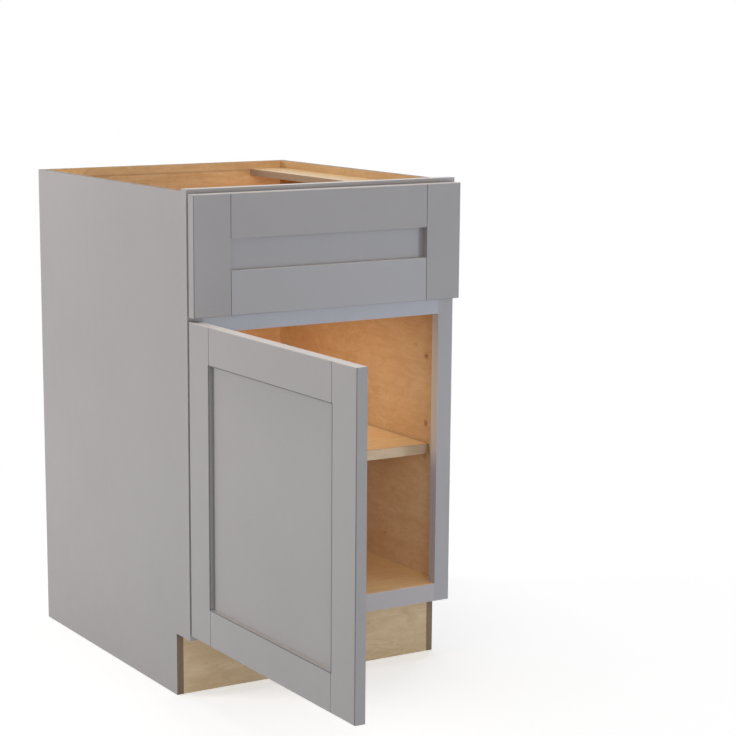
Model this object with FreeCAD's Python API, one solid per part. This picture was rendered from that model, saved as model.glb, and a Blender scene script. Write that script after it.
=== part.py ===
import FreeCAD, Part
import os

# Kitchen base cabinet with one drawer over one door.
# Origin: floor level, middle of the back face. +X is right seen from the front, +Y is the wall side.
# The door stands open at rest, as photographed, and the drawer is closed.
# Everything is in millimetres.

# Cabinet overall
width = 531.8
depth = 609.6
height = 876.3
toe_height = 111.1
toe_depth = 50.8

# Case panels
side_t = 12.7
back_t = 12.7
deck_t = 12.7
toe_board_t = 12.7
dado_depth = 4.8
rabbet_depth = 6.35

# Face frame. It stands a little above the case.
frame_t = 19.05
frame_rise = 5.0
frame_stile_w = 30.0
top_rail_h = 38.1
middle_rail_h = 38.1
bottom_rail_h = 33.2
drawer_opening_h = 164.5
tenon_len = 10.0
tenon_t = 6.35
tenon_shoulder = 5.0

# Top braces, seated in the back panel
brace_w = 69.85
brace_t = 12.7
brace_drop = 14.3
tongue_t = 6.0
tongue_len = 6.0
score_half = 0.4
score_deep = 0.4

# Shelf and its supports
shelf_t = 18.0
shelf_band_t = 1.0
shelf_rise = 231.7
shelf_setback = 51.0
shelf_side_gap = 1.5
shelf_back_gap = 3.0
pin_r = 3.1
pin_play = 0.1
pin_len = 8.0
pin_end_gap = 1.0
pin_front_inset = 62.0
pin_back_inset = 60.0
pin_drop = 7.9
hole_pitch = 62.0
hole_step_shares = (0, 1, 3)
clip_plate_t = 1.2
clip_ledge = 9.0
clip_half_w = 4.5

# Door and drawer front
front_t = 19.05
front_reveal = 1.6
bumper_gap = 3.15
top_reveal = 7.6
drawer_front_h = 204.0
front_gap = 6.7
door_bottom_reveal = 10.0
front_stile_w = 69.85
door_rail_w = 64.4
drawer_rail_w = 75.0
panel_t = 6.35
door_recess = 7.6
drawer_recess = 12.7
panel_groove = 10.0
panel_float = 1.0
edge_round = 1.6
joint_half = 0.6
joint_deep = 0.9

# Bumpers
bumper_r = 4.5
bumper_play = 0.15
bumper_inset = 13.0
bumper_round = 0.8

# Door hinges, measured with the door closed
hinge_inset = 88.9
pin_from_edge = 7.3
pin_from_frame = 13.0
hinge_pin_r = 1.25
hinge_pin_play = 0.05
knuckle_r = 2.5
knuckle_gap = 0.4
arm_t = 2.0
arm_half_w = 4.5
arm_base_half = 22.0
arm_base_inset = 1.6
arm_screw_half = 14.0
cup_edge = 3.0
cup_r = 17.5
cup_wall = 0.8
cup_play = 0.1
cup_pin_end_gap = 0.3
flange_t = 1.2
flange_r = 19.2
flange_ear_half = 28.0
flange_ear_w = 12.0
flange_ear_round = 4.0
flange_shift = 9.5
flange_screw_half = 22.5
door_open_rest = 90.0

# Drawer box
box_clear = 4.8
box_t = 12.7
box_h = 120.0
box_back_inset = 1.75
box_bottom_t = 6.35
box_bottom_up = 12.7
box_groove = 6.0
box_groove_end = 0.3
tail_count = 4
tail_wide_share = 0.62
tail_narrow_share = 0.40

# Drawer slides
slide_w = 32.0
slide_wall = 1.5
slide_sheet = 1.2
slide_gap = 0.4
slide_h = 9.4
slide_lip = 3.5
slide_stack = 12.5
slide_front_inset = 2.0
slide_back_gap = 64.9
slide_web_gap = 0.6
slide_tab_h = 27.0
slide_tab_end = 2.0
slide_top_inset = 1.0
bracket_t = 1.5
bracket_down = 8.0
bracket_up = 24.0
bracket_lap = 25.0
bracket_side_gap = 2.0
latch_w = 29.0
latch_len = 46.0
latch_lever_w = 10.0
latch_lever_len = 14.0
latch_lever_t = 4.0

# Screws
screw_r = 1.6
screw_head_r = 3.6
screw_head_t = 1.3
screw_slot_w = 0.9
screw_slot_deep = 0.7
rim_share = 0.9
head_round_share = 0.5
cross_share = 0.6
screw_bite = 9.5
small_screw_head_t = 1.0
slide_screw_up = 19.0
slide_screw_half = 5.5
bracket_screw_up = 16.0
bracket_screw_half = 9.0
front_screw_in = 9.5
front_screw_up = 20.0

# One overrun for every through cut
cut_over = 2.0

# Places worked out from the sizes above
half_w = width / 2
side_inner = half_w - side_t
opening_half = half_w - frame_stile_w
front_y = -depth
frame_back_y = front_y + frame_t
back_inner_y = -back_t
toe_face_y = front_y + toe_depth
bottom_rail_top = toe_height + bottom_rail_h
deck_under = bottom_rail_top - deck_t
frame_top = height + frame_rise
top_rail_bottom = frame_top - top_rail_h
middle_rail_top = top_rail_bottom - drawer_opening_h
middle_rail_bottom = middle_rail_top - middle_rail_h
brace_top = height - brace_drop
shelf_bottom = bottom_rail_top + shelf_rise
shelf_front_y = front_y + shelf_setback
pin_z = shelf_bottom - pin_drop
front_pin_y = front_y + pin_front_inset
back_pin_y = back_inner_y - pin_back_inset
fronts_back_y = front_y - bumper_gap
fronts_face_y = fronts_back_y - front_t
fronts_half = half_w - front_reveal
drawer_front_top = frame_top - top_reveal
drawer_front_bottom = drawer_front_top - drawer_front_h
door_top = drawer_front_bottom - front_gap
door_bottom = toe_height + door_bottom_reveal
hinge_x = -fronts_half + pin_from_edge
hinge_y = front_y - pin_from_frame
hinge_heights = (door_top - hinge_inset, door_bottom + hinge_inset)
cup_x = -fronts_half + cup_edge + cup_r
cup_deep = pin_from_frame - bumper_gap + knuckle_r + knuckle_gap + cup_wall
cup_floor_y = fronts_back_y - cup_deep
box_half = opening_half - box_clear
box_inner = box_half - box_t
slide_y0 = front_y + slide_front_inset
slide_y1 = back_inner_y - slide_back_gap
box_front_y = fronts_back_y
box_back_y = slide_y1 - box_back_inset
slide_base = middle_rail_top
box_bottom_z = slide_base + slide_stack
box_top_z = box_bottom_z + box_h
box_panel_z = box_bottom_z + box_bottom_up
slide_in = opening_half - slide_w

x_dir = FreeCAD.Vector(1, 0, 0)
y_dir = FreeCAD.Vector(0, 1, 0)
z_dir = FreeCAD.Vector(0, 0, 1)
origin = FreeCAD.Vector(0, 0, 0)


def block(x0, x1, y0, y1, z0, z1):
    """A box between two corners."""
    return Part.makeBox(x1 - x0, y1 - y0, z1 - z0, FreeCAD.Vector(x0, y0, z0))


def rod(x, y, z, direction, radius, length):
    """A cylinder that starts at a point and runs along a direction."""
    return Part.makeCylinder(radius, length, FreeCAD.Vector(x, y, z), direction)


def prism(points, run):
    """A polygon pushed along a vector."""
    corners = [FreeCAD.Vector(*point) for point in points]
    outline = Part.makePolygon(corners + corners[:1])
    return Part.Face(outline).extrude(run)


def mirrored(shape):
    """The same piece on the other side of the cabinet."""
    return shape.mirror(origin, x_dir)


def swung(shape):
    """A door piece, turned about the hinge pins to the rest position."""
    turned = shape.copy()
    turned.rotate(FreeCAD.Vector(hinge_x, hinge_y, 0), z_dir, -door_open_rest)
    return turned


def screw(x, y, z, direction, length, head_t):
    """A pan head screw: the head stands up from the point, the shank runs along the direction."""
    shank = Part.makeCylinder(screw_r, length, origin, z_dir * -1)
    head = Part.makeCylinder(screw_head_r, head_t)
    rim = [edge for edge in head.Edges if edge.CenterOfMass.z > head_t * rim_share]
    head = head.makeFillet(head_t * head_round_share, rim)
    reach = screw_head_r * cross_share
    blade = screw_slot_w / 2
    floor = head_t - screw_slot_deep
    head = head.cut(block(-reach, reach, -blade, blade, floor, head_t))
    head = head.cut(block(-blade, blade, -reach, reach, floor, head_t))
    piece = shank.fuse(head).removeSplitter()
    piece.Placement = FreeCAD.Placement(FreeCAD.Vector(x, y, z), FreeCAD.Rotation(z_dir, direction * -1))
    return piece


def shank_hole(x, y, z, direction, length):
    """The hole that a screw's shank fills."""
    return rod(x, y, z, direction, screw_r, length)


# Case panels

def pin_holes(inner_x):
    """Shelf pin holes in the right-hand side panel."""
    holes = []
    for y in (front_pin_y, back_pin_y):
        for step in hole_step_shares:
            z = pin_z + step * hole_pitch
            holes.append(rod(inner_x, y, z, x_dir, pin_r + pin_play, pin_len + pin_end_gap))
    return Part.makeCompound(holes)


def side_panel():
    """The right-hand side panel, with its toe notch, deck dado, back rabbet and pin holes."""
    panel = block(side_inner, half_w, frame_back_y, 0, 0, height)
    notch = block(side_inner - cut_over, half_w + cut_over, frame_back_y - cut_over, toe_face_y,
                  -cut_over, toe_height)
    dado = block(side_inner - cut_over, side_inner + dado_depth, frame_back_y - cut_over,
                 back_inner_y + dado_depth, deck_under, bottom_rail_top)
    rabbet = block(side_inner - cut_over, side_inner + rabbet_depth, back_inner_y, cut_over,
                   -cut_over, height + cut_over)
    return panel.cut(notch).cut(dado).cut(rabbet).cut(pin_holes(side_inner))


def back_panel():
    """The back panel, with the braces' sockets, a scored line, the deck dado and the bracket screw holes."""
    edge = side_inner + rabbet_depth
    panel = block(-edge, edge, back_inner_y, 0, 0, height)
    socket = block(side_inner - brace_w, side_inner, back_inner_y - cut_over,
                   back_inner_y + tongue_len, brace_top - tongue_t, brace_top)
    line_z = brace_top - tongue_t / 2
    corners = [(-edge, back_inner_y, line_z - score_half), (-edge, back_inner_y, line_z + score_half),
               (-edge, back_inner_y + score_deep, line_z)]
    line = prism(corners, x_dir * (edge + edge))
    dado = block(-edge - cut_over, edge + cut_over, back_inner_y - cut_over,
                 back_inner_y + dado_depth, deck_under, bottom_rail_top)
    panel = panel.cut(socket).cut(mirrored(socket)).cut(line).cut(dado)
    for x, y, z in bracket_screw_points():
        hole = shank_hole(x, y, z, y_dir, screw_bite + bracket_t)
        panel = panel.cut(hole).cut(mirrored(hole))
    return panel


def bottom_deck():
    """The cabinet floor, let into the sides and the back."""
    edge = side_inner + dado_depth
    return block(-edge, edge, frame_back_y, back_inner_y + dado_depth, deck_under, bottom_rail_top)


def toe_board():
    """The board behind the toe space, under the deck."""
    return block(-side_inner, side_inner, toe_face_y, toe_face_y + toe_board_t, 0, deck_under)


def top_brace():
    """The right-hand brace, with a tongue in the back panel's socket."""
    brace = block(side_inner - brace_w, side_inner, frame_back_y, back_inner_y,
                  brace_top - brace_t, brace_top)
    tongue = block(side_inner - brace_w, side_inner, back_inner_y, back_inner_y + tongue_len,
                   brace_top - tongue_t, brace_top)
    return brace.fuse(tongue).removeSplitter()


# Face frame

def rail_tenon(z0, z1):
    """The right-hand tenon of a frame rail that spans two heights."""
    y0 = front_y + (frame_t - tenon_t) / 2
    return block(opening_half, opening_half + tenon_len, y0, y0 + tenon_t,
                 z0 + tenon_shoulder, z1 - tenon_shoulder)


rail_spans = {
    "top": (top_rail_bottom, frame_top),
    "middle": (middle_rail_bottom, middle_rail_top),
    "bottom": (toe_height, bottom_rail_top),
}


def frame_rail(name):
    """A frame rail with a tenon at each end."""
    z0, z1 = rail_spans[name]
    rail = block(-opening_half, opening_half, front_y, frame_back_y, z0, z1)
    tenon = rail_tenon(z0, z1)
    return rail.fuse(tenon).fuse(mirrored(tenon)).removeSplitter()


def frame_stile():
    """The right-hand frame stile, with its mortises and the slide's screw holes."""
    stile = block(opening_half, half_w, front_y, frame_back_y, toe_height, frame_top)
    for z0, z1 in rail_spans.values():
        stile = stile.cut(rail_tenon(z0, z1))
    for x, y, z in slide_screw_points():
        stile = stile.cut(shank_hole(x, y, z, x_dir, screw_bite))
    return stile


# Shelf

def shelf_end():
    return side_inner - shelf_side_gap


def adjustable_shelf():
    """The shelf board behind its edge band."""
    return block(-shelf_end(), shelf_end(), shelf_front_y + shelf_band_t,
                 back_inner_y - shelf_back_gap, shelf_bottom, shelf_bottom + shelf_t)


def shelf_edge_band():
    """The strip on the shelf's front edge."""
    return block(-shelf_end(), shelf_end(), shelf_front_y, shelf_front_y + shelf_band_t,
                 shelf_bottom, shelf_bottom + shelf_t)


def shelf_support(y):
    """A right-hand support: a pin in the side panel, a plate against it and a ledge under the shelf."""
    pin = rod(side_inner - clip_plate_t, y, pin_z, x_dir, pin_r, pin_len + clip_plate_t)
    plate = block(side_inner - clip_plate_t, side_inner, y - clip_half_w, y + clip_half_w,
                  pin_z - clip_half_w, shelf_bottom)
    ledge = block(side_inner - clip_ledge, side_inner, y - clip_half_w, y + clip_half_w,
                  shelf_bottom - clip_plate_t, shelf_bottom)
    return plate.fuse(ledge).fuse(pin).removeSplitter()


def shelf_supports():
    """The four supports."""
    right = [shelf_support(y) for y in (front_pin_y, back_pin_y)]
    return Part.makeCompound(right + [mirrored(support) for support in right])


# Door and drawer front

def front_pieces(z0, z1, rail_w, recess, lined_rails):
    """The five pieces of a recessed panel front between two heights, seen closed.

    The stiles' inner edges are eased by a fine line, and so are the rails' where lined_rails is true.
    """
    x1 = fronts_half
    inner = x1 - front_stile_w
    y0 = fronts_face_y
    groove_y0 = y0 + recess
    groove_y1 = groove_y0 + panel_t
    slab = block(-x1, x1, y0, fronts_back_y, z0, z1)
    face_edges = [edge for edge in slab.Edges if abs(edge.CenterOfMass.y - y0) < edge_round]
    slab = slab.makeFillet(edge_round, face_edges)
    for x in (-inner, inner):
        corners = [(x - joint_half, y0, z0), (x + joint_half, y0, z0), (x, y0 + joint_deep, z0)]
        slab = slab.cut(prism(corners, z_dir * (z1 - z0)))
    for z in (z0 + rail_w, z1 - rail_w) if lined_rails else ():
        corners = [(-inner, y0, z - joint_half), (-inner, y0, z + joint_half), (-inner, y0 + joint_deep, z)]
        slab = slab.cut(prism(corners, x_dir * (inner + inner)))
    stile_groove = block(inner, inner + panel_groove, groove_y0, groove_y1, z0, z1)
    stile = slab.common(block(inner, x1, y0, fronts_back_y, z0, z1)).cut(stile_groove)
    pieces = {"stile_right": stile, "stile_left": mirrored(stile)}
    for name, rail_z0, rail_z1, tongue_z0, tongue_z1, groove_z0 in (
            ("rail_bottom", z0, z0 + rail_w, z0, z0 + rail_w - panel_groove, z0 + rail_w - panel_groove),
            ("rail_top", z1 - rail_w, z1, z1 - rail_w + panel_groove, z1, z1 - rail_w)):
        rail = slab.common(block(-inner, inner, y0, fronts_back_y, rail_z0, rail_z1))
        rail = rail.cut(block(-inner, inner, groove_y0, groove_y1, groove_z0, groove_z0 + panel_groove))
        tongue = block(inner, inner + panel_groove, groove_y0, groove_y1, tongue_z0, tongue_z1)
        pieces[name] = rail.fuse(tongue).fuse(mirrored(tongue)).removeSplitter()
    reach = panel_groove - panel_float
    pieces["panel"] = block(-inner - reach, inner + reach, groove_y0, groove_y1,
                            z0 + rail_w - reach, z1 - rail_w + reach)
    return pieces


def bumper(x, z):
    """A round bumper on the back of a front, near a corner."""
    disc = rod(x, fronts_back_y, z, y_dir, bumper_r, bumper_gap - bumper_play)
    end_y = fronts_back_y + bumper_gap - bumper_play
    rim = [edge for edge in disc.Edges if abs(edge.CenterOfMass.y - end_y) < bumper_play]
    return disc.makeFillet(bumper_round, rim)


def corner_heights(z0, z1):
    return (z0 + bumper_inset, z1 - bumper_inset)


def door_bumpers():
    """Two bumpers at the door's free edge."""
    x = fronts_half - bumper_inset
    return Part.makeCompound([bumper(x, z) for z in corner_heights(door_bottom, door_top)])


def drawer_bumpers():
    """Four bumpers at the drawer front's corners."""
    x = fronts_half - bumper_inset
    heights = corner_heights(drawer_front_bottom, drawer_front_top)
    return Part.makeCompound([bumper(side * x, z) for side in (-1, 1) for z in heights])


# Hinges, drawn with the door closed

def cup_screw_points(z):
    x = cup_x + flange_shift
    return [(x, fronts_back_y + flange_t, z + offset) for offset in (-flange_screw_half, flange_screw_half)]


def arm_screw_points(z):
    y = front_y + frame_t / 2
    return [(-opening_half + arm_t, y, z + offset) for offset in (-arm_screw_half, arm_screw_half)]


def hinge_cup(z):
    """The cup that is let into the door, with its flange and the holes for the pin."""
    shell = rod(cup_x, cup_floor_y, z, y_dir, cup_r, cup_deep + flange_t)
    disc = rod(cup_x, fronts_back_y, z, y_dir, flange_r, flange_t)
    ears = block(cup_x + flange_shift - flange_ear_w / 2, cup_x + flange_shift + flange_ear_w / 2,
                 fronts_back_y, fronts_back_y + flange_t, z - flange_ear_half, z + flange_ear_half)
    upright = [edge for edge in ears.Edges if edge.Length < flange_ear_w / 2]
    ears = ears.makeFillet(flange_ear_round, upright)
    hollow = rod(cup_x, cup_floor_y + cup_wall, z, y_dir, cup_r - cup_wall, cup_deep + flange_t)
    cup = shell.fuse(disc).fuse(ears).cut(hollow)
    cup = cup.cut(hinge_pin(z))
    for x, y, point_z in cup_screw_points(z):
        cup = cup.cut(shank_hole(x, y, point_z, y_dir * -1, flange_t))
    return cup.removeSplitter()


def hinge_pin(z):
    """The pin that the arm turns on. Its ends follow the cup's curved wall and stay inside it."""
    blank = rod(hinge_x, hinge_y, z - cup_r, z_dir, hinge_pin_r, cup_r + cup_r)
    return blank.common(rod(cup_x, cup_floor_y, z, y_dir, cup_r - cup_pin_end_gap, cup_deep))


def hinge_arm(z):
    """The fixed arm: a base on the frame's edge, a strip forward and a leg to the pin."""
    leg_y0 = hinge_y - knuckle_r
    strip_x0 = -opening_half
    strip_x1 = strip_x0 + arm_t
    knuckle = rod(hinge_x, hinge_y, z - arm_half_w, z_dir, knuckle_r, arm_half_w + arm_half_w)
    leg = block(hinge_x, strip_x1, leg_y0, leg_y0 + arm_t, z - arm_half_w, z + arm_half_w)
    strip = block(strip_x0, strip_x1, leg_y0, front_y + arm_base_inset, z - arm_half_w, z + arm_half_w)
    base = block(strip_x0, strip_x1, front_y + arm_base_inset, frame_back_y - arm_base_inset,
                 z - arm_base_half, z + arm_base_half)
    corners = [edge for edge in base.Edges if edge.Length < flange_ear_w / 2]
    base = base.makeFillet(flange_ear_round, corners)
    arm = knuckle.fuse(leg).fuse(strip).fuse(base)
    bore = rod(hinge_x, hinge_y, z - arm_half_w - cut_over, z_dir, hinge_pin_r + hinge_pin_play,
               arm_half_w + arm_half_w + cut_over + cut_over)
    arm = arm.cut(bore)
    for x, y, point_z in arm_screw_points(z):
        arm = arm.cut(shank_hole(x, y, point_z, x_dir * -1, arm_t))
    return arm.removeSplitter()


def hinge_cup_screws():
    """Two screws for each cup."""
    points = [point for z in hinge_heights for point in cup_screw_points(z)]
    back = y_dir * -1
    return Part.makeCompound([screw(x, y, z, back, screw_bite + flange_t, small_screw_head_t)
                              for x, y, z in points])


def hinge_frame_screws():
    """Two screws for each arm."""
    points = [point for z in hinge_heights for point in arm_screw_points(z)]
    left = x_dir * -1
    return Part.makeCompound([screw(x, y, z, left, screw_bite + arm_t, screw_head_t)
                              for x, y, z in points])


def door_pieces():
    """The closed door's five pieces, with the cups' seats in the hinge stile."""
    pieces = front_pieces(door_bottom, door_top, door_rail_w, door_recess, True)
    stile = pieces["stile_left"]
    for z in hinge_heights:
        stile = stile.cut(rod(cup_x, cup_floor_y, z, y_dir, cup_r + cup_play, cup_deep + cut_over))
        for x, y, point_z in cup_screw_points(z):
            stile = stile.cut(shank_hole(x, y, point_z, y_dir * -1, screw_bite + flange_t))
    pieces["stile_left"] = stile
    return pieces


def hinge_stile_holes(stile):
    """The frame's hinge stile, with the arm screws' holes."""
    for z in hinge_heights:
        for x, y, point_z in arm_screw_points(z):
            stile = stile.cut(shank_hole(x, y, point_z, x_dir * -1, screw_bite + arm_t))
    return stile


# Drawer box

def box_tails(end_y, inward):
    """The right-hand side's dovetails at one end: wide at the end face, narrow at the shoulder."""
    pitch = box_h / tail_count
    wide = pitch * tail_wide_share / 2
    narrow = pitch * tail_narrow_share / 2
    shoulder_y = end_y + inward * box_t
    tails = []
    for index in range(tail_count):
        z = box_bottom_z + pitch * index + pitch / 2
        corners = [(box_inner, end_y, z - wide), (box_inner, end_y, z + wide),
                   (box_inner, shoulder_y, z + narrow), (box_inner, shoulder_y, z - narrow)]
        tails.append(prism(corners, x_dir * box_t))
    return tails


def box_bottom_groove():
    """The groove round the inside of the box, which the bottom fills."""
    edge = box_inner + box_groove
    return block(-edge, edge, box_front_y + box_t - box_groove, box_back_y - box_t + box_groove,
                 box_panel_z, box_panel_z + box_bottom_t)


def drawer_side():
    """The right-hand box side, with dovetails at both ends."""
    side = block(box_inner, box_half, box_front_y + box_t, box_back_y - box_t, box_bottom_z, box_top_z)
    for tail in box_tails(box_front_y, 1) + box_tails(box_back_y, -1):
        side = side.fuse(tail)
    return side.removeSplitter().cut(box_bottom_groove())


def drawer_end(end_y, inward):
    """The box front or back, with sockets for the sides' dovetails."""
    y0, y1 = sorted((end_y, end_y + inward * box_t))
    board = block(-box_half, box_half, y0, y1, box_bottom_z, box_top_z)
    for tail in box_tails(end_y, inward):
        board = board.cut(tail).cut(mirrored(tail))
    return board.cut(box_bottom_groove())


def drawer_box_front():
    board = drawer_end(box_front_y, 1)
    for x, y, z in front_screw_points():
        board = board.cut(shank_hole(x, y, z, y_dir * -1, box_t))
    return board


def drawer_box_back():
    return drawer_end(box_back_y, -1)


def drawer_bottom():
    """The box bottom, held in the groove with a little room at its edges."""
    edge = box_inner + box_groove - box_groove_end
    return block(-edge, edge, box_front_y + box_t - box_groove + box_groove_end,
                 box_back_y - box_t + box_groove - box_groove_end, box_panel_z, box_panel_z + box_bottom_t)


def front_screw_points():
    """The screws that hold the drawer front, inside the box front."""
    x = box_inner - front_screw_in
    heights = (box_panel_z + front_screw_up, box_top_z - front_screw_up)
    return [(side * x, box_front_y + box_t, z) for side in (-1, 1) for z in heights]


def drawer_front_screws():
    back = y_dir * -1
    return Part.makeCompound([screw(x, y, z, back, box_t + screw_bite, screw_head_t)
                              for x, y, z in front_screw_points()])


def drawer_front_pieces():
    """The drawer front's five pieces, with holes for the screws in its stiles."""
    pieces = front_pieces(drawer_front_bottom, drawer_front_top, drawer_rail_w, drawer_recess, False)
    for name in ("stile_left", "stile_right"):
        for x, y, z in front_screw_points():
            pieces[name] = pieces[name].cut(shank_hole(x, y, z, y_dir * -1, box_t + screw_bite))
    return pieces


# Drawer slides, right-hand side

def channel(x0, x1, z0, z1, sheet, lip):
    """An upright channel with lips turned in at its top."""
    floor = block(x0, x1, slide_y0, slide_y1, z0, z0 + sheet)
    shape = floor
    for wall_x0, lip_x0 in ((x0, x0), (x1 - sheet, x1 - sheet - lip)):
        wall = block(wall_x0, wall_x0 + sheet, slide_y0, slide_y1, z0, z1)
        lip_part = block(lip_x0, lip_x0 + sheet + lip, slide_y0, slide_y1, z1 - slide_sheet, z1)
        shape = shape.fuse(wall).fuse(lip_part)
    return shape.removeSplitter()


def slide_screw_points():
    """Screws through the cabinet member's tab into the frame stile."""
    middle = front_y + frame_t / 2
    x = opening_half - slide_wall
    return [(x, middle + offset, slide_base + slide_screw_up)
            for offset in (-slide_screw_half, slide_screw_half)]


def slide_cabinet_member():
    """The fixed member, with a tab for its screws at the frame."""
    member = channel(slide_in, opening_half, slide_base, slide_base + slide_h, slide_wall, slide_lip)
    tab = block(opening_half - slide_wall, opening_half, slide_y0, frame_back_y - slide_tab_end,
                slide_base, slide_base + slide_tab_h)
    member = member.fuse(tab).removeSplitter()
    for x, y, z in slide_screw_points():
        member = member.cut(shank_hole(x, y, z, x_dir, slide_wall))
    return member


def middle_member_box():
    """The middle member's limits in X and Z."""
    x0 = slide_in + slide_wall + slide_gap
    x1 = opening_half - slide_wall - slide_gap
    z0 = slide_base + slide_wall + slide_gap
    z1 = slide_base + slide_h - slide_sheet - slide_gap
    return x0, x1, z0, z1


def slide_middle_member():
    """The middle member, nested in the fixed one."""
    x0, x1, z0, z1 = middle_member_box()
    return channel(x0, x1, z0, z1, slide_sheet, slide_lip)


def slide_drawer_member():
    """The drawer's member: a flange under the middle member's lips, two webs and a top plate."""
    x0, x1, z0, z1 = middle_member_box()
    flange_x0 = x0 + slide_sheet + slide_gap
    flange_x1 = x1 - slide_sheet - slide_gap
    flange_z0 = z0 + slide_sheet + slide_gap
    web_x0 = x0 + slide_sheet + slide_lip + slide_web_gap
    web_x1 = x1 - slide_sheet - slide_lip - slide_web_gap
    member = block(flange_x0, flange_x1, slide_y0, slide_y1, flange_z0, flange_z0 + slide_sheet)
    for x in (web_x0, web_x1 - slide_sheet):
        member = member.fuse(block(x, x + slide_sheet, slide_y0, slide_y1, flange_z0, box_bottom_z))
    top = block(web_x0, box_half - slide_top_inset, slide_y0, slide_y1,
                box_bottom_z - slide_sheet, box_bottom_z)
    return member.fuse(top).removeSplitter()


def bracket_screw_points():
    """Screws through the rear bracket into the back panel."""
    middle = opening_half - slide_w / 2
    y = back_inner_y - bracket_t
    return [(middle + offset, y, slide_base + bracket_screw_up)
            for offset in (-bracket_screw_half, bracket_screw_half)]


def slide_rear_bracket():
    """The bracket that holds the fixed member's rear end to the back panel."""
    x0 = slide_in + bracket_side_gap
    x1 = opening_half - bracket_side_gap
    plate = block(x0, x1, back_inner_y - bracket_t, back_inner_y,
                  slide_base - bracket_down, slide_base + bracket_up)
    tongue = block(x0, x1, slide_y1 - bracket_lap, back_inner_y - bracket_t,
                   slide_base - bracket_t, slide_base)
    bracket = plate.fuse(tongue).removeSplitter()
    for x, y, z in bracket_screw_points():
        bracket = bracket.cut(shank_hole(x, y, z, y_dir, bracket_t))
    return bracket


def slide_screws():
    """The screws of both fixed members and both rear brackets."""
    right = [screw(x, y, z, x_dir, screw_bite, small_screw_head_t) for x, y, z in slide_screw_points()]
    right += [screw(x, y, z, y_dir, screw_bite, screw_head_t) for x, y, z in bracket_screw_points()]
    return Part.makeCompound(right + [mirrored(piece) for piece in right])


def slide_latch():
    """The release latch under the drawer bottom, behind the box front."""
    y0 = box_front_y + box_t
    body = block(box_inner - latch_w, box_inner, y0, y0 + latch_len, box_bottom_z, box_panel_z)
    lever_x0 = box_inner - latch_w
    lever_y0 = y0 + (latch_len - latch_lever_len) / 2
    lever = block(lever_x0 - latch_lever_w, lever_x0, lever_y0, lever_y0 + latch_lever_len,
                  box_panel_z - latch_lever_t, box_panel_z)
    return body.fuse(lever).removeSplitter()


def collect_nodes():
    """Every sub-part by name, each in its place at rest."""
    nodes = {
        "side_panel_right": side_panel(),
        "back_panel": back_panel(),
        "bottom_deck": bottom_deck(),
        "toe_board": toe_board(),
        "top_brace_right": top_brace(),
        "frame_stile_right": frame_stile(),
        "frame_rail_top": frame_rail("top"),
        "frame_rail_middle": frame_rail("middle"),
        "frame_rail_bottom": frame_rail("bottom"),
        "adjustable_shelf": adjustable_shelf(),
        "shelf_edge_band": shelf_edge_band(),
        "shelf_supports": shelf_supports(),
        "hinge_frame_screws": hinge_frame_screws(),
        "slide_cabinet_member_right": slide_cabinet_member(),
        "slide_rear_bracket_right": slide_rear_bracket(),
        "slide_screws": slide_screws(),
        "slide_middle_member_right": slide_middle_member(),
        "slide_drawer_member_right": slide_drawer_member(),
        "slide_latch_right": slide_latch(),
        "drawer_side_right": drawer_side(),
        "drawer_box_front": drawer_box_front(),
        "drawer_box_back": drawer_box_back(),
        "drawer_bottom": drawer_bottom(),
        "drawer_front_screws": drawer_front_screws(),
        "drawer_bumpers": drawer_bumpers(),
        "door_bumpers": swung(door_bumpers()),
        "hinge_cup_screws": swung(hinge_cup_screws()),
        "hinge_pins": swung(Part.makeCompound([hinge_pin(z) for z in hinge_heights])),
    }
    for name in [key for key in nodes if key.endswith("_right")]:
        nodes[name.replace("_right", "_left")] = mirrored(nodes[name])
    nodes["frame_stile_left"] = hinge_stile_holes(nodes["frame_stile_left"])
    for level, z in zip(("upper", "lower"), hinge_heights):
        nodes["hinge_arm_" + level] = hinge_arm(z)
        nodes["hinge_cup_" + level] = swung(hinge_cup(z))
    for name, shape in door_pieces().items():
        nodes["door_" + name] = swung(shape)
    for name, shape in drawer_front_pieces().items():
        nodes["drawer_front_" + name] = shape
    return nodes


os.makedirs("parts", exist_ok=True)
for node_name, node_shape in collect_nodes().items():
    node_shape.exportStep("parts/" + node_name + ".step")
    print(node_name, len(node_shape.Solids), round(node_shape.Volume), node_shape.isValid())
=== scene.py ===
import functools
import math

import bpy
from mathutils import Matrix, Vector


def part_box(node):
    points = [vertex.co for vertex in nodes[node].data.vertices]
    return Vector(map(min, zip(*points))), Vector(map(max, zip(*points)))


# The looks of a kitchen base cabinet with one drawer over one door.
# Everything is in metres, in the same frame as the solids: the front faces -Y, and the wall is at Y 0.

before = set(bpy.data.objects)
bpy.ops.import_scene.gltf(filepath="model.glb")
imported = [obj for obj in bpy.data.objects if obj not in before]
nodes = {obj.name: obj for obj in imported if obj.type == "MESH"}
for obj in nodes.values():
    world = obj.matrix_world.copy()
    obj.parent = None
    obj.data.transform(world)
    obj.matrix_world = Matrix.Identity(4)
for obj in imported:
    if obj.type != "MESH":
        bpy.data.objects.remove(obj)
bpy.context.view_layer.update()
mm = 0.001

# Places taken from the frame
side_low, side_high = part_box("side_panel_right")
half_w = side_high.x
height = side_high.z
side_t = side_high.x - side_low.x
front_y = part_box("frame_stile_right")[0].y
rail_under_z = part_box("frame_rail_middle")[0].z
shelf_under_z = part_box("adjustable_shelf")[0].z
brace_under_z, brace_top_z = (corner.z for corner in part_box("top_brace_right"))

# Camera at the photograph's viewpoint, with its frame shift in shares of the image width
camera_place = Vector((-1.8253, -3.6530, 1.1589))
camera_turn = math.radians(29.862)
camera_down = math.radians(11.161)
camera_lens = 101.63
camera_sensor = 36
camera_shift = (0.1122, 0.0798)
camera_near = 0.1
camera_far = 60


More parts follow.
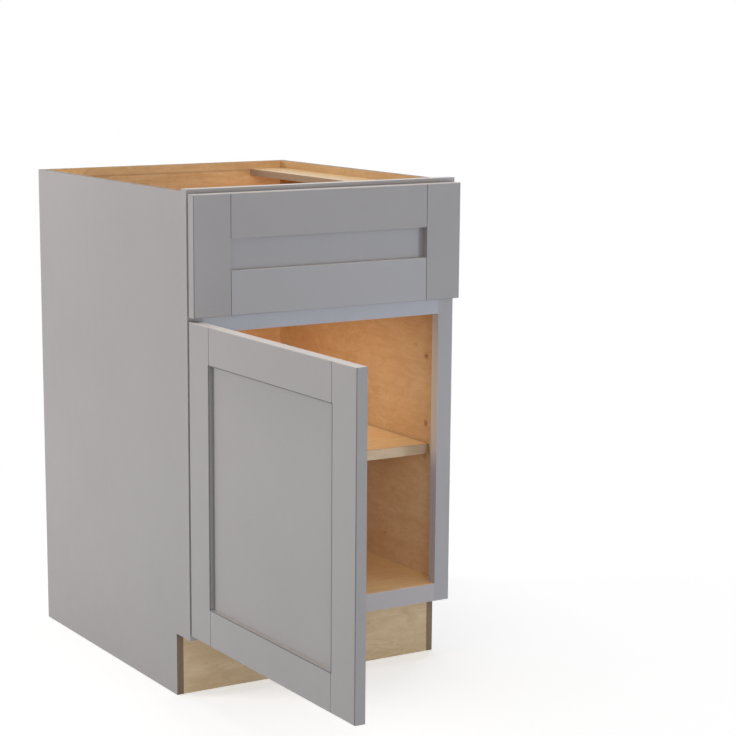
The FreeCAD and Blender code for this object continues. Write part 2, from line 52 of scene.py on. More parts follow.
def make_camera():
    data = bpy.data.cameras.new("camera")
    data.sensor_width = camera_sensor
    data.lens = camera_lens
    data.shift_x, data.shift_y = camera_shift
    data.clip_start = camera_near
    data.clip_end = camera_far
    camera = bpy.data.objects.new("camera", data)
    camera.location = camera_place
    camera.rotation_euler = (math.pi / 2 - camera_down, 0, -camera_turn)
    bpy.context.scene.collection.objects.link(camera)
    bpy.context.scene.camera = camera


# Node graphs, written through one small helper

class Graph:
    """A material's node graph. A call makes a node, sets its inputs by name or number, and returns it."""

    def __init__(self, name):
        self.material = bpy.data.materials.new(name)
        self.material.use_nodes = True
        self.tree = self.material.node_tree
        self.tree.nodes.clear()

    def __call__(self, kind, inputs=(), **settings):
        node = self.tree.nodes.new("ShaderNode" + kind)
        for key, value in settings.items():
            setattr(node, key, value)
        for key, value in dict(inputs).items():
            self.fill(node.inputs[key], value)
        return node

    def fill(self, socket, value):
        """Links a socket to another one, or gives it a plain value."""
        if isinstance(value, bpy.types.NodeSocket):
            self.tree.links.new(value, socket)
        else:
            socket.default_value = value

    def math(self, operation, first, second=0.0):
        return self("Math", {0: first, 1: second}, operation=operation).outputs[0]

    def times(self, first, second):
        return self.math("MULTIPLY", first, second)

    def mix(self, share, first, second, blend="MIX"):
        """Two colours mixed. Numbers 6 and 7 are the node's colour inputs, and output 2 is its colour."""
        node = self("Mix", data_type="RGBA", blend_type=blend)
        self.fill(node.inputs["Factor"], share)
        self.fill(node.inputs[6], first)
        self.fill(node.inputs[7], second)
        return node.outputs[2]

    def ramp(self, value, places, colours):
        """A colour for each place on the way from 0 to 1, and blends of them in between."""
        node = self("ValToRGB", {"Fac": value})
        elements = node.color_ramp.elements
        while len(elements) < len(places):
            elements.new(1.0)
        for element, place, colour in zip(elements, places, colours):
            element.position = place
            element.color = colour
        return node.outputs["Color"]

    def spread(self, value, low, high, out_low=0.0, out_high=1.0):
        """Maps a value's range to another range, clamped."""
        return self("MapRange", {0: value, 1: low, 2: high, 3: out_low, 4: out_high}).outputs[0]

    def noise(self, vector, scale, detail=3.0, rough=0.5, warp=0.0):
        return self("TexNoise", {"Vector": vector, "Scale": scale, "Detail": detail,
                                 "Roughness": rough, "Distortion": warp}).outputs["Fac"]

    def scaled(self, vector, scale, offset=(0, 0, 0)):
        return self("Mapping", {"Vector": vector, "Scale": scale, "Location": offset}).outputs[0]

    def place(self):
        return self("TexCoord").outputs["Object"]

    def parts(self, vector):
        """A vector's X, Y and Z sockets."""
        return self("SeparateXYZ", {0: vector}).outputs

    def own_normal(self):
        """The normal's parts along the piece's own axes."""
        return self.parts(self("TexCoord").outputs["Normal"])

    def openness(self, reach):
        """1 on open faces, falling towards 0 in grooves and corners."""
        return self("AmbientOcclusion", {"Distance": reach}, samples=12).outputs["AO"]

    def upright_edge(self):
        """1 on rounded or cut upright edges, 0 on faces that square up with the piece's own axes."""
        own = self.own_normal()
        return self.spread(self.math("ABSOLUTE", self.times(own["X"], own["Y"])), 0.08, 0.35)

    def faces_up(self):
        """1 on faces that look up."""
        return self.math("GREATER_THAN", self.own_normal()["Z"], square_share)

    def within(self, value, low, high, soft):
        """1 between two limits, 0 outside them."""
        rise = self.spread(value, low - soft, low + soft)
        fall = self.spread(value, high - soft, high + soft, 1.0, 0.0)
        return self.times(rise, fall)

    def bump(self, height_value, depth, strength):
        return self("Bump", {"Height": height_value, "Distance": depth, "Strength": strength}).outputs[0]

    def surface(self, colour, rough, relief, **more):
        """The shader of one surface. Further inputs keep one value all over it."""
        shader = self("BsdfPrincipled", {"Base Color": colour, "Roughness": rough, "Normal": relief})
        for key, value in more.items():
            shader.inputs[key.replace("_", " ")].default_value = value
        return shader.outputs[0]

    def finish(self, shader):
        output = self("OutputMaterial")
        self.tree.links.new(shader, output.inputs["Surface"])
        return self.material


# How far a face has to look along an axis to count as square to it
square_share = 0.7


def rgb(red, green, blue):
    """A colour as a screen shows it, 0 to 255, in linear light."""
    def linear(value):
        share = value / 255
        return share / 12.92 if share <= 0.04045 else ((share + 0.055) / 1.055) ** 2.4
    return (linear(red), linear(green), linear(blue), 1.0)


def tones(*colours):
    return tuple(rgb(*colour) for colour in colours)


# Paint, from its darker to its paler clouds
paint_tones = tones((163, 159, 158), (166, 162, 161), (168, 164, 163))
# A bluer copy of the paint for the middle rail: painted bluish light
blue_lit_frame_tones = tones((160, 160, 164), (163, 163, 167), (165, 165, 169))
# A paler copy of the paint for the drawer's panel and bottom rail and the right stile: painted light
lit_paint_tones = tones((171, 168, 169), (173, 171, 172), (176, 173, 174))
# A warmer copy of the paint for the frame's bottom rail, painted to take back the blue of the lamp that
# lights it
sill_tones = tones((160, 154, 153), (163, 157, 156), (165, 159, 158))
# Painted light on the right stile's inner edge: pale where light bounces warm from the cupboard, darker and
# bluer in painted shade below the shelf
inner_edge_bounce_light_tone = rgb(222, 217, 211)
inner_edge_shaded_tone = rgb(190, 187, 195)
# A painted highlight on the drawer front's ledge, which looks up
ledge_highlight_tone = rgb(214, 209, 207)

# Wood: its pale, middle and dark tones
birch_tones = tones((239, 204, 156), (233, 194, 144), (216, 171, 118))
brace_tones = tones((236, 202, 153), (231, 195, 144), (214, 174, 124))
wall_tones = tones((232, 198, 152), (225, 187, 139), (207, 163, 112))
# Darker tones for the tops of the side panels' insides: painted shade
shaded_wall_top_tones = tones((216, 180, 134), (208, 170, 123), (190, 151, 106))
# A paler copy of the birch for the shelf and the deck: painted light
lit_shelf_tones = tones((252, 220, 166), (249, 210, 152), (236, 188, 128))
band_tones = tones((208, 186, 158), (201, 177, 148), (183, 157, 127))
raw_tones = tones((229, 205, 168), (221, 195, 156), (200, 169, 128))
knot_tone = rgb(150, 100, 58)
back_low_tone = rgb(232, 170, 108)
rim_tone = rgb(140, 92, 54)
bore_tone = rgb(232, 196, 152)

# Layers of the cut edges: dark and pale
panel_layers = tones((110, 90, 70), (150, 125, 98))
drawer_layers = tones((176, 136, 96), (206, 168, 124))
brace_layers = tones((158, 136, 117), (176, 152, 130))


# Paint. Painted shade darkens its creases and its upright edges.
crease_reach = 5 * mm
ledge_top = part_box("door_rail_bottom")[1].z
ledge_zone = (ledge_top + 4 * mm, ledge_top + 10 * mm)
upright_line = 3.2 * mm
level_line = 2.0 * mm
line_soft = 0.12
line_dark = 0.45
door_crease_dark = 0.85
door_edge_dark = 0.6
drawer_edge_dark = 0.55
frame_edge_dark = 0.9
paint_ior = 1.5


def opening_line(graph, where):
    """1 on a fine line around the door's recess, on the face of its stiles and rails."""
    parts = graph.parts(where)
    free_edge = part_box("door_stile_right")[1].y
    hinge_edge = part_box("door_stile_left")[0].y
    upper_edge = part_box("door_rail_top")[0].z
    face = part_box("door_stile_right")[0].x
    past = []
    for axis, low, high, wide in (("Y", free_edge, hinge_edge, upright_line),
                                  ("Z", ledge_top, upper_edge, level_line)):
        off = graph.math("ABSOLUTE", graph.math("SUBTRACT", parts[axis], (low + high) / 2))
        past.append(graph.math("DIVIDE", graph.math("SUBTRACT", off, (high - low) / 2), wide))
    line = graph.within(graph.math("MAXIMUM", *past), 0.0, 1.0, line_soft)
    on_face = graph.math("LESS_THAN", parts["X"], face + mm)
    return graph.times(line, on_face)


def painted(graph, where, paint, crease_dark=1.0, edge_dark=1.0, line=None):
    """Sprayed satin paint: colour, roughness and relief sockets. A share of 1 darkens nothing."""
    cloud = graph.noise(where, scale=4.0)
    fleck = graph.noise(where, scale=220.0, detail=2.0)
    tone = graph.math("ADD", graph.times(cloud, 0.7), graph.times(fleck, 0.3))
    colour = graph.ramp(tone, (0.3, 0.5, 0.75), paint)
    # Painted shade darkens upright edges, and creases above the ledge where asked; the fine line around the
    # door's recess darkens too
    shade_and_line = graph.spread(graph.upright_edge(), 0.0, 1.0, 1.0, edge_dark)
    if crease_dark < 1:
        occlusion_shade = graph.spread(graph.openness(crease_reach), 0.5, 0.97, crease_dark, 1.0)
        above_ledge = graph.spread(graph.parts(where)["Z"], *ledge_zone)
        shade_and_line = graph.mix(above_ledge, shade_and_line, graph.times(shade_and_line, occlusion_shade))
    if line is not None:
        shade_and_line = graph.times(shade_and_line, graph.spread(line, 0.0, 1.0, 1.0, line_dark))
    colour = graph.mix(1.0, colour, shade_and_line, "MULTIPLY")
    rough = graph.spread(graph.noise(where, scale=35.0), 0.3, 0.7, 0.36, 0.44)
    relief = graph.bump(graph.noise(where, scale=900.0, detail=2.0), depth=0.02 * mm, strength=0.3)
    return colour, rough, relief


def paint_material(name, paint, edge_dark, crease_dark=1.0, lined=False, lit_level_tone=None):
    """Paint for the frame, the door and the drawer front. A paler level tone, a painted highlight, goes on
    faces that look up.
    """
    graph = Graph(name)
    where = graph.place()
    line = opening_line(graph, where) if lined else None
    colour, rough, relief = painted(graph, where, paint, crease_dark, edge_dark, line)
    # Painted highlight on faces that look up
    if lit_level_tone is not None:
        colour = graph.mix(graph.faces_up(), colour, lit_level_tone)
    return graph.finish(graph.surface(colour, rough, relief, IOR=paint_ior))


# Birch veneer and plywood
across_grain = {"X": (0, 1, 1), "Y": (1, 0, 1), "Z": (1, 1, 0)}
layer_t = 2.8 * mm
clear_coat = 0.25
coat_rough = 0.25


def stretched(graph, where, grain, times):
    """Coordinates drawn out along the grain: the other two axes run this many times faster."""
    return graph.scaled(where, tuple(times if across else 1 for across in across_grain[grain]))


def swayed_along(graph, where, grain):
    """Coordinates that wander as the grain does."""
    drawn = stretched(graph, where, grain, times=2.6)
    sway = graph("TexNoise", {"Vector": drawn, "Scale": 3.6, "Detail": 3.0}).outputs["Color"]
    push = graph("VectorMath", {0: sway, "Scale": 0.22}, operation="SCALE").outputs[0]
    return graph("VectorMath", {0: drawn, 1: push}, operation="ADD").outputs[0]


def ring_lines(graph, where, swayed):
    """1 on the lines where the rotary cut met the tree's rings, in the places where they show."""
    figure = graph.noise(swayed, scale=3.0, warp=0.9)
    line = graph.spread(graph.math("FRACT", graph.times(figure, 15.0)), 0.0, 0.6, 1.0, 0.0)
    shown = graph.spread(graph.noise(where, scale=9.0, detail=2.0), 0.42, 0.62)
    return graph.times(line, shown)


def knots(graph, swayed, grain):
    """1 in the eye of a few small knots, and 1 on the swirls around them."""
    drawn = stretched(graph, swayed, grain, times=0.7)
    cells = graph("TexVoronoi", {"Vector": drawn, "Scale": 13.0}).outputs
    reach = cells["Distance"]
    kept = graph.math("GREATER_THAN", graph("SeparateColor", {0: cells["Color"]}).outputs[0], 0.72)
    eye = graph.times(graph.spread(reach, 0.02, 0.07, 1.0, 0.0), kept)
    swirl = graph.spread(graph.math("FRACT", graph.times(reach, 12.0)), 0.0, 0.5, 1.0, 0.0)
    near = graph.spread(reach, 0.1, 0.36, 1.0, 0.0)
    return eye, graph.times(graph.times(swirl, near), kept)


def birch(graph, where, grain, wood, seed, bold=1.0):
    """Rotary cut veneer with its grain along one axis: colour, roughness and relief sockets."""
    pale, middle, dark = wood
    shifted = graph.scaled(where, (1, 1, 1), (seed, seed * 1.7, seed * 0.6))
    swayed = swayed_along(graph, shifted, grain)
    lines = ring_lines(graph, shifted, swayed)
    eye, swirl = knots(graph, swayed, grain)
    cloud = graph.noise(stretched(graph, shifted, grain, times=1.4), scale=7.0)
    drawn = stretched(graph, swayed, grain, times=1.2)
    patch = graph.noise(drawn, scale=24.0, detail=4.0, rough=0.6, warp=0.8)
    streak = graph.noise(stretched(graph, shifted, grain, times=14.0), scale=5.0, detail=4.0, rough=0.6)
    fibre = graph.noise(stretched(graph, shifted, grain, times=9.0), scale=42.0, detail=4.0, rough=0.6)
    fleck = graph.noise(stretched(graph, shifted, grain, times=3.0), scale=95.0, detail=2.0)
    # Each mark: its field, the range of it that counts, how much shows at both ends of that range, its tone
    marks = (
        (cloud, 0.30, 0.50, 0.40, 0.0, dark),
        (cloud, 0.50, 0.66, 0.0, 1.0, pale),
        (patch, 0.34, 0.50, 0.40 * bold, 0.0, dark),
        (patch, 0.52, 0.68, 0.0, 0.55, pale),
        (lines, 0.0, 1.0, 0.0, 0.42 * bold, dark),
        (streak, 0.46, 0.66, 0.0, 0.34 * bold, dark),
        (fibre, 0.50, 0.78, 0.0, 0.22, dark),
        (fleck, 0.64, 0.74, 0.0, 0.22, knot_tone),
        (swirl, 0.0, 1.0, 0.0, 0.5 * bold, dark),
        (eye, 0.0, 1.0, 0.0, 0.5, knot_tone),
    )
    colour = middle
    for field, low, high, shown_low, shown_high, tone in marks:
        colour = graph.mix(graph.spread(field, low, high, shown_low, shown_high), colour, tone)
    rough = graph.spread(fibre, 0.3, 0.7, 0.36, 0.5)
    relief = graph.bump(fibre, depth=0.05 * mm, strength=0.4)
    return colour, rough, relief


def ply_edges(graph, where, axis, colour, layers=panel_layers):
    """Puts the cut edges of a plywood panel over its face veneer: layers across its thickness axis."""
    layer = graph.math("FRACT", graph.times(graph.parts(where)[axis], 1 / layer_t))
    stripe = graph.spread(graph.math("ABSOLUTE", graph.math("SUBTRACT", layer, 0.5)), 0.2, 0.3)
    speck = graph.noise(where, scale=400.0)
    edge = graph.mix(stripe, *layers)
    edge = graph.mix(graph.spread(speck, 0.4, 0.7, 0.0, 0.5), edge, layers[0])
    normal = graph.parts(graph("NewGeometry").outputs["True Normal"])[axis]
    is_face = graph.math("GREATER_THAN", graph.math("ABSOLUTE", normal), 0.6)
    return graph.mix(is_face, edge, colour)


def birch_material(name, grain, thickness_axis, seed, wood=birch_tones, layers=panel_layers,
                   coat=clear_coat, bold=1.0):
    """Plywood: its face veneer's grain runs along one axis, and its layers lie across another."""
    graph = Graph(name)
    where = graph.place()
    colour, rough, relief = birch(graph, where, grain, wood, seed, bold)
    colour = ply_edges(graph, where, thickness_axis, colour, layers)
    shader = graph.surface(colour, rough, relief, Coat_Weight=coat, Coat_Roughness=coat_rough)
    return graph.finish(shader)


# The back panel's scored line, a little below the tops of the braces
score_z = brace_top_z - 2 * mm
score_half = 1.5 * mm
score_soft = 0.4 * mm
score_line_share = 0.3
back_bold = 1.7
low_reach = 60 * mm
low_share = 0.3


def back_material(seed):
    """The back panel: clear birch, with a darker line along its scored line and a darker tone below it."""
    graph = Graph("birch_back")
    where = graph.place()
    colour, rough, relief = birch(graph, where, "X", birch_tones, seed, back_bold)
    rise = graph.parts(where)["Z"]
    line = graph.within(rise, score_z - score_half, score_z + score_half, score_soft)
    colour = graph.mix(graph.times(line, score_line_share), colour, knot_tone)
    below = graph.spread(rise, score_z - low_reach, score_z, low_share, 0.0)
    colour = graph.mix(below, colour, back_low_tone)
    colour = ply_edges(graph, where, "Y", colour)
    shader = graph.surface(colour, rough, relief, Coat_Weight=clear_coat, Coat_Roughness=coat_rough)
    return graph.finish(shader)


# The rows of shelf pin holes in the side panels, and the holes above the shelf, counted from its own
pin_rows = (front_y + 62 * mm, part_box("back_panel")[0].y - 60 * mm)
first_pin_z = shelf_under_z - 7.9 * mm
pin_pitch = 62 * mm
pin_steps = (1, 3)
rim_r = 7 * mm
rim_ragged = 3 * mm
rim_share = 0.6
bore_start = 0.3 * mm


def pin_rims(graph, where):
    """1 around the pin holes, where the veneer is darker."""
    parts = graph.parts(where)
    ragged = graph.times(graph.noise(where, scale=160.0, detail=2.0), rim_ragged)
    rims = []
    for row in pin_rows:
        for step in pin_steps:
            along = graph.math("SUBTRACT", parts["Y"], row)
            rise = graph.math("SUBTRACT", parts["Z"], first_pin_z + step * pin_pitch)
            off = graph("CombineXYZ", {0: along, 1: rise}).outputs[0]
            away = graph("VectorMath", {0: off}, operation="LENGTH").outputs["Value"]
            rims.append(graph.spread(graph.math("ADD", away, ragged), rim_r * 0.6, rim_r * 1.4, 1.0, 0.0))
    return functools.reduce(lambda first, second: graph.math("MAXIMUM", first, second), rims)


# Painted shade: the side panels' insides turn a little darker towards the open top
wall_top_zone = (height - 0.25, height - 0.1)
paint_t = 0.5 * mm


def side_material(name, outer_x, seed):
    """A side panel: paint on its outer face, clear birch inside, bare layers on its edges."""
    graph = Graph(name)
    where = graph.place()
    rise = graph.spread(graph.parts(where)["Z"], *wall_top_zone)
    wood = [graph.mix(rise, low, high) for low, high in zip(wall_tones, shaded_wall_top_tones)]
    inside, wood_rough, wood_relief = birch(graph, where, "Y", wood, seed)
    rims = pin_rims(graph, where)
    inside = graph.mix(graph.times(rims, rim_share), inside, rim_tone)
    inside = ply_edges(graph, where, "X", inside)
    depth = graph.math("ABSOLUTE", graph.math("SUBTRACT", graph.parts(where)["X"], outer_x))
    sunk = graph.math("LESS_THAN", depth, side_t - bore_start)
    inside = graph.mix(graph.times(rims, sunk), inside, bore_tone)
    paint, paint_rough, paint_relief = painted(graph, where, paint_tones)
    outside = graph.math("LESS_THAN", depth, paint_t)
    colour = graph.mix(outside, inside, paint)
    wood_shader = graph.surface(colour, wood_rough, wood_relief)
    paint_shader = graph.surface(colour, paint_rough, paint_relief)
    return graph.finish(graph("MixShader", {0: outside, 1: wood_shader, 2: paint_shader}).outputs[0])


shelf_shade = 20 * mm


def stile_material():
    """The frame's right stile: paint, with a pale painted highlight on its inner edge for the warm light the
    cupboard throws back, and painted shade on that edge below the shelf.
    """
    graph = Graph("frame_stile")
    where = graph.place()
    paint, rough, relief = painted(graph, where, lit_paint_tones, edge_dark=frame_edge_dark)
    # Painted light on the inner edge: the pale tone above the shelf, painted shade below it
    rise = graph.spread(graph.parts(where)["Z"], shelf_under_z - shelf_shade, shelf_under_z + shelf_shade)
    edge = graph.mix(rise, inner_edge_shaded_tone, inner_edge_bounce_light_tone)
    inward = graph.math("LESS_THAN", graph.own_normal()["X"], -square_share)
    return graph.finish(graph.surface(graph.mix(inward, paint, edge), rough, relief))


deck_seed = 1.9


def sill_material():
    """The bottom rail of the frame: painted, with a clear birch top edge that runs on from the deck."""
    graph = Graph("frame_sill")
    where = graph.place()
    wood = birch(graph, where, "X", birch_tones, deck_seed)[0]
    paint, rough, relief = painted(graph, where, sill_tones, edge_dark=frame_edge_dark)
    return graph.finish(graph.surface(graph.mix(graph.faces_up(), paint, wood), rough, relief))


# Metal and plastic
rolling_stretch = {"X": (20, 900, 900), "Y": (900, 20, 900), "Z": (900, 900, 20)}
tarnish_tone = rgb(150, 150, 148)


def metal_material(name, tint, rough_low, rough_high, streak_axis):
    """Plated steel with fine rolling marks along one axis."""
    graph = Graph(name)
    where = graph.place()
    streak = graph.noise(graph.scaled(where, rolling_stretch[streak_axis]), scale=1.0)
    cloud = graph.noise(where, scale=70.0)
    colour = graph.mix(graph.spread(cloud, 0.35, 0.7, 0.0, 0.25), tint, tarnish_tone)
    rough = graph.spread(streak, 0.3, 0.7, rough_low, rough_high)
    relief = graph.bump(streak, depth=0.01 * mm, strength=0.3)
    return graph.finish(graph.surface(colour, rough, relief, Metallic=1.0))


def moulded_material(name, tint, tint_two, rough):
    """Moulded plastic or rubber with a fine grain."""
    graph = Graph(name)
    where = graph.place()
    grain = graph.noise(where, scale=1500.0, detail=2.0)
    colour = graph.mix(graph.noise(where, scale=90.0, detail=2.0), tint, tint_two)
    roughness = graph.spread(grain, 0.3, 0.7, rough - 0.06, rough + 0.06)
    relief = graph.bump(grain, depth=0.02 * mm, strength=0.4)
    return graph.finish(graph.surface(colour, roughness, relief))


def clip_material():
    """Pale translucent shelf clips."""
    graph = Graph("clip_clear")
    where = graph.place()
    colour = graph.mix(graph.noise(where, scale=120.0, detail=2.0), rgb(232, 196, 146), rgb(222, 184, 132))
    grain = graph.noise(where, scale=1200.0, detail=2.0)
    rough = graph.spread(grain, 0.3, 0.7, 0.3, 0.4)
    relief = graph.bump(grain, depth=0.01 * mm, strength=0.3)
    return graph.finish(graph.surface(colour, rough, relief, Transmission_Weight=0.2))


# Which pieces get which material
def nodes_of(starts, without=()):
    """The nodes whose names start in one of these ways, except those that hold one of these words."""
    return [name for name in nodes if name.startswith(starts) and not any(word in name for word in without)]


door_nodes = nodes_of(("door_stile", "door_rail", "door_panel"))
drawer_nodes = nodes_of("drawer_front_", without=("screw",))
frame_nodes = nodes_of("frame_")
slide_nodes = nodes_of("slide_", without=("latch", "screw"))
hinge_nodes = nodes_of("hinge_", without=("screw",))
screw_nodes = [name for name in nodes if name.endswith("_screws")]
brace_nodes = ["top_brace_left", "top_brace_right"]
panel_nodes = ["side_panel_left", "side_panel_right", "back_panel", "bottom_deck", "adjustable_shelf",
               "toe_board"] + brace_nodes
inside_nodes = ["side_panel_right", "back_panel", "bottom_deck", "adjustable_shelf"]

weld_reach = 0.01 * mm
ease_angle = math.radians(40)
front_ease = 0.35 * mm
panel_ease = 0.25 * mm


def dress(names, material):
    """Gives CAD nodes a material."""
    for name in names:
        node = nodes[name]
        node.data.materials.clear()
        node.data.materials.append(material)


def soften(names, size):
    """Eases the sharp edges of CAD nodes, without changing their meshes."""
    for name in names:
        weld = nodes[name].modifiers.new("weld", "WELD")
        weld.merge_threshold = weld_reach
        bevel = nodes[name].modifiers.new("ease", "BEVEL")
        bevel.width = size
        bevel.segments = 2
        bevel.limit_method = "ANGLE"
        bevel.angle_limit = ease_angle
        bevel.harden_normals = True


def dress_fronts():
    """The door, the drawer front and the face frame."""
    dress(door_nodes,
          paint_material("satin_gray_door", paint_tones, door_edge_dark, door_crease_dark, lined=True))
    dress(["drawer_front_stile_left", "drawer_front_stile_right", "drawer_front_rail_top"],
          paint_material("satin_gray_drawer", paint_tones, drawer_edge_dark))
    dress(["drawer_front_panel"], paint_material("satin_gray_drawer_panel", lit_paint_tones, drawer_edge_dark))
    dress(["drawer_front_rail_bottom"],
          paint_material("satin_gray_drawer_low", lit_paint_tones, drawer_edge_dark, lit_level_tone=ledge_highlight_tone))
    dress(["frame_rail_middle"], paint_material("satin_gray_frame", blue_lit_frame_tones, frame_edge_dark))
    dress(["frame_stile_left", "frame_rail_top"],
          paint_material("satin_gray_frame_left", paint_tones, frame_edge_dark))
    dress(["frame_stile_right"], stile_material())
    dress(["frame_rail_bottom"], sill_material())
    soften(door_nodes + drawer_nodes + frame_nodes, front_ease)


def dress_case():
    """The panels of the case, the shelf and the toe board."""
    dress(["side_panel_left"], side_material("side_left", outer_x=-half_w, seed=3.1))
    dress(["side_panel_right"], side_material("side_right", outer_x=half_w, seed=0.0))
    dress(["back_panel"], back_material(seed=5.3))
    dress(["bottom_deck"],
          birch_material("birch_deck", grain="X", thickness_axis="Z", seed=deck_seed, wood=lit_shelf_tones))
    dress(["adjustable_shelf"],
          birch_material("birch_shelf", grain="X", thickness_axis="Z", seed=7.7, wood=lit_shelf_tones))
    dress(["shelf_edge_band"],
          birch_material("birch_band", grain="X", thickness_axis="Y", seed=2.3, wood=band_tones, coat=0.0))
    dress(brace_nodes,
          birch_material("birch_brace", grain="Y", thickness_axis="Z", seed=4.4, wood=brace_tones,
                         layers=brace_layers))
    dress(["toe_board"],
          birch_material("birch_toe", grain="X", thickness_axis="Y", seed=6.1, wood=raw_tones,
                         coat=0.0, bold=1.3))
    dress(["shelf_supports"], clip_material())
    soften(panel_nodes, panel_ease)


def dress_drawer_box():
    dress(["drawer_side_left", "drawer_side_right"],
          birch_material("birch_drawer_sides", grain="Y", thickness_axis="X", seed=8.2,
                         layers=drawer_layers))
    dress(["drawer_box_front", "drawer_box_back"],
          birch_material("birch_drawer_ends", grain="X", thickness_axis="Y", seed=3.7,
                         layers=drawer_layers))
    dress(["drawer_bottom"],
          birch_material("birch_drawer_bottom", grain="X", thickness_axis="Z", seed=9.4))


def dress_hardware():
    zinc = rgb(196, 198, 200)
    nickel = rgb(206, 201, 192)
    screw_zinc = rgb(190, 190, 188)
    dress(slide_nodes,
          metal_material("zinc_slide", zinc, rough_low=0.22, rough_high=0.38, streak_axis="Y"))
    dress(hinge_nodes,
          metal_material("nickel_hinge", nickel, rough_low=0.16, rough_high=0.3, streak_axis="Z"))
    dress(screw_nodes,
          metal_material("screw_zinc", screw_zinc, rough_low=0.2, rough_high=0.34, streak_axis="X"))
    dress(["slide_latch_left", "slide_latch_right"],
          moulded_material("latch_gray", rgb(92, 95, 99), rgb(84, 87, 92), rough=0.5))
    dress(["door_bumpers", "drawer_bumpers"],
          moulded_material("bumper_clear", rgb(228, 228, 222), rgb(220, 220, 214), rough=0.3))


# Room
white = (1, 1, 1, 1)
floor_pale = rgb(232, 232, 232)
floor_gray = rgb(229, 229, 229)
floor_bounce = rgb(222, 227, 238)
floor_glow = 0.5
room_half = 9.0
fade_start = 0.6
fade_end = 1.35
world_strength = 0.27


def make_floor():
    """A pale floor with the object's shadow, which fades to plain white away from the object."""
    bpy.ops.mesh.primitive_plane_add(size=room_half * 2, location=(0, 0, 0))
    floor = bpy.context.object
    floor.name = "floor"
    graph = Graph("floor")
    where = graph.place()
    colour = graph.mix(graph.noise(where, scale=30.0), floor_pale, floor_gray)
    lit = graph("BsdfDiffuse", {"Color": colour}).outputs[0]
    glow = graph("Emission", {"Color": white, "Strength": floor_glow}).outputs[0]
    near = graph("AddShader", {0: lit, 1: glow}).outputs[0]
    far = graph("Emission", {"Color": white, "Strength": 1.0}).outputs[0]
    away = graph("VectorMath", {0: where}, operation="LENGTH").outputs["Value"]
    seen = graph("MixShader", {0: graph.spread(away, fade_start, fade_end), 1: near, 2: far}).outputs[0]
    bounce = graph("BsdfDiffuse", {"Color": floor_bounce}).outputs[0]
    camera_ray = graph("LightPath").outputs["Is Camera Ray"]
    both = graph("MixShader", {0: camera_ray, 1: bounce, 2: seen}).outputs[0]
    floor.data.materials.append(graph.finish(both))


def make_world():
    """A plain room. The camera and reflections see it white."""
    world = bpy.data.worlds.new("room")
    bpy.context.scene.world = world
    world.use_nodes = True
    tree = world.node_tree
    tree.nodes.clear()

    def add(kind):
        return tree.nodes.new("ShaderNode" + kind)

    path = add("LightPath")
    either = add("Math")
    either.operation = "MAXIMUM"
    tree.links.new(path.outputs["Is Camera Ray"], either.inputs[0])
    tree.links.new(path.outputs["Is Glossy Ray"], either.inputs[1])
    strength = add("MapRange")
    strength.inputs["To Min"].default_value = world_strength
    strength.inputs["To Max"].default_value = 1.0
    tree.links.new(either.outputs[0], strength.inputs["Value"])
    background = add("Background")
    background.inputs["Color"].default_value = white
    tree.links.new(strength.outputs["Result"], background.inputs["Strength"])
    tree.links.new(background.outputs[0], add("OutputWorld").inputs["Surface"])


def softbox(name, place, target, size, power, tint=(1, 1, 1), only=None):
    """A soft lamp, in watts. Gloss shows the white room instead of it. It may light only some pieces."""
    data = bpy.data.lights.new(name, "AREA")
    data.shape = "RECTANGLE"
    data.size, data.size_y = size
    data.energy = power
    data.color = tint
    light = bpy.data.objects.new(name, data)
    light.location = place
    light.rotation_euler = (Vector(target) - Vector(place)).to_track_quat("-Z", "Y").to_euler()
    light.visible_glossy = False
    light.visible_camera = False
    bpy.context.scene.collection.objects.link(light)
    if only is not None:
        lit = bpy.data.collections.new("lit_by_" + name)
        for node_name in only:
            lit.objects.link(nodes[node_name])
        light.light_linking.receiver_collection = lit


def light_room():
    """Two soft lamps face each other across the object, with weaker ones in front and above."""
    middle = (0, -0.4, 0.45)
    softbox("left_key", (-3.4, 1.3, 1.15), middle, size=(1.4, 1.4), power=82, tint=(1.0, 0.965, 0.915))
    softbox("front_right_fill", (2.3, -3.5, 0.15), middle, size=(1.0, 1.0), power=60, tint=(0.88, 0.94, 1.0))
    softbox("back_right_fill", (3.0, 2.2, 1.3), middle, size=(1.4, 1.4), power=34, tint=(1.0, 0.99, 0.97))
    softbox("front_left_fill", (-1.6, -4.0, 1.4), middle, size=(1.6, 1.6), power=20)
    softbox("top_fill", (0.0, -0.3, 3.4), middle, size=(2.0, 2.0), power=28)


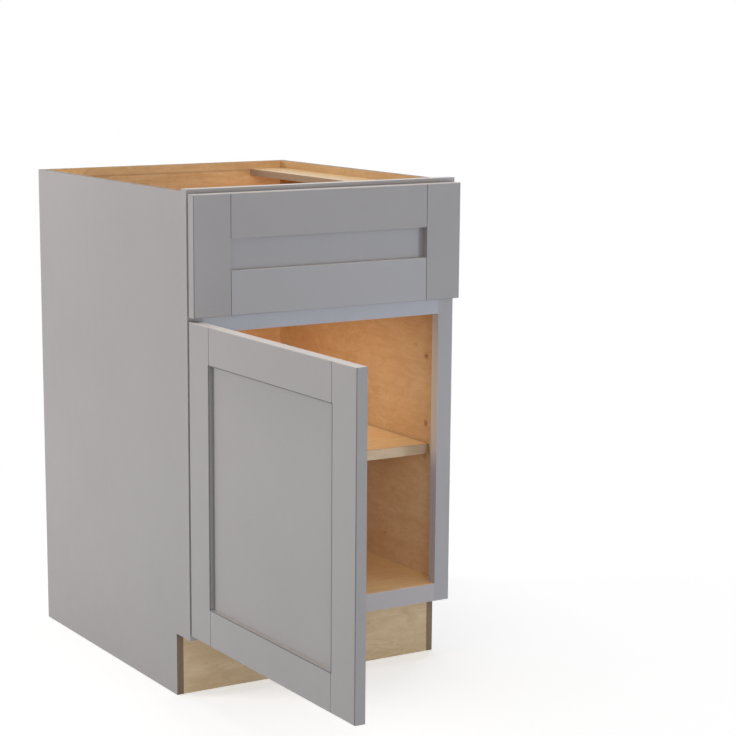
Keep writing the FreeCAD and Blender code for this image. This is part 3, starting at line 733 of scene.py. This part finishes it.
def light_edges():
    """Level edges and two rails of the front catch a little more light."""
    above = (0.1, -0.5, 3.4)
    below = (0.1, -0.5, 0)
    warm = (1.0, 0.95, 0.87)
    softbox("edge_fill", above, below, size=(1.6, 1.6), power=56, tint=warm,
            only=drawer_nodes + frame_nodes)
    softbox("door_edge_fill", above, below, size=(1.6, 1.6), power=94, tint=warm, only=door_nodes)
    softbox("rail_fill", (0.4, -3.4, 0.3), (0.0, front_y, 0.45), size=(1.2, 0.6), power=19,
            tint=(0.86, 0.92, 1.0), only=["frame_rail_middle", "frame_rail_bottom"])


def light_top():
    """The open top, and the back under the right brace."""
    softbox("top_opening_fill", (-1.8, -2.2, 2.3), (0.1, -0.25, height), size=(0.8, 0.8), power=18,
            tint=(0.98, 0.98, 0.97), only=["back_panel"] + brace_nodes)
    lamp_z = brace_under_z - 6 * mm
    softbox("under_brace_fill", (half_w - 60 * mm, -0.2, lamp_z), (half_w - 30 * mm, 0, lamp_z),
            size=(0.08, 0.008), power=0.11, tint=(1.0, 0.82, 0.74), only=["back_panel"])


# Where the cupboard's lamp hangs, as a share of the depth
inside_lamp_share = 0.58


def light_inside():
    """The cupboard: one lamp under the middle rail, one for the shelf, and two low ones in front."""
    middle_y = side_low.y * inside_lamp_share
    softbox("inside_fill", (0, middle_y, rail_under_z - 5 * mm), (0, middle_y, 0),
            size=(half_w, 0.36), power=0.48, only=inside_nodes + ["frame_stile_right", "frame_rail_bottom"])
    softbox("shelf_fill", (-0.05, -0.45, 0.62), (0.12, -0.48, 0.44),
            size=(0.16, 0.2), power=0.1, tint=(1.0, 0.96, 0.86), only=["adjustable_shelf"])
    softbox("inside_low_fill", (-0.05, -1.6, 0.6), (0.05, -0.4, 0.25),
            size=(0.3, 0.5), power=2.4, tint=(0.92, 0.97, 1.0), only=inside_nodes + ["shelf_edge_band"])
    softbox("under_shelf_fill", (-0.15, front_y + 6 * mm, 0.28), (half_w, -0.4, 0.28),
            size=(0.1, 0.28), power=0.16, tint=(0.4, 0.58, 1.0), only=inside_nodes)


make_camera()
dress_fronts()
dress_case()
dress_drawer_box()
dress_hardware()
make_floor()
make_world()
light_room()
light_edges()
light_top()
light_inside()

scene = bpy.context.scene
scene.view_settings.view_transform = "Standard"
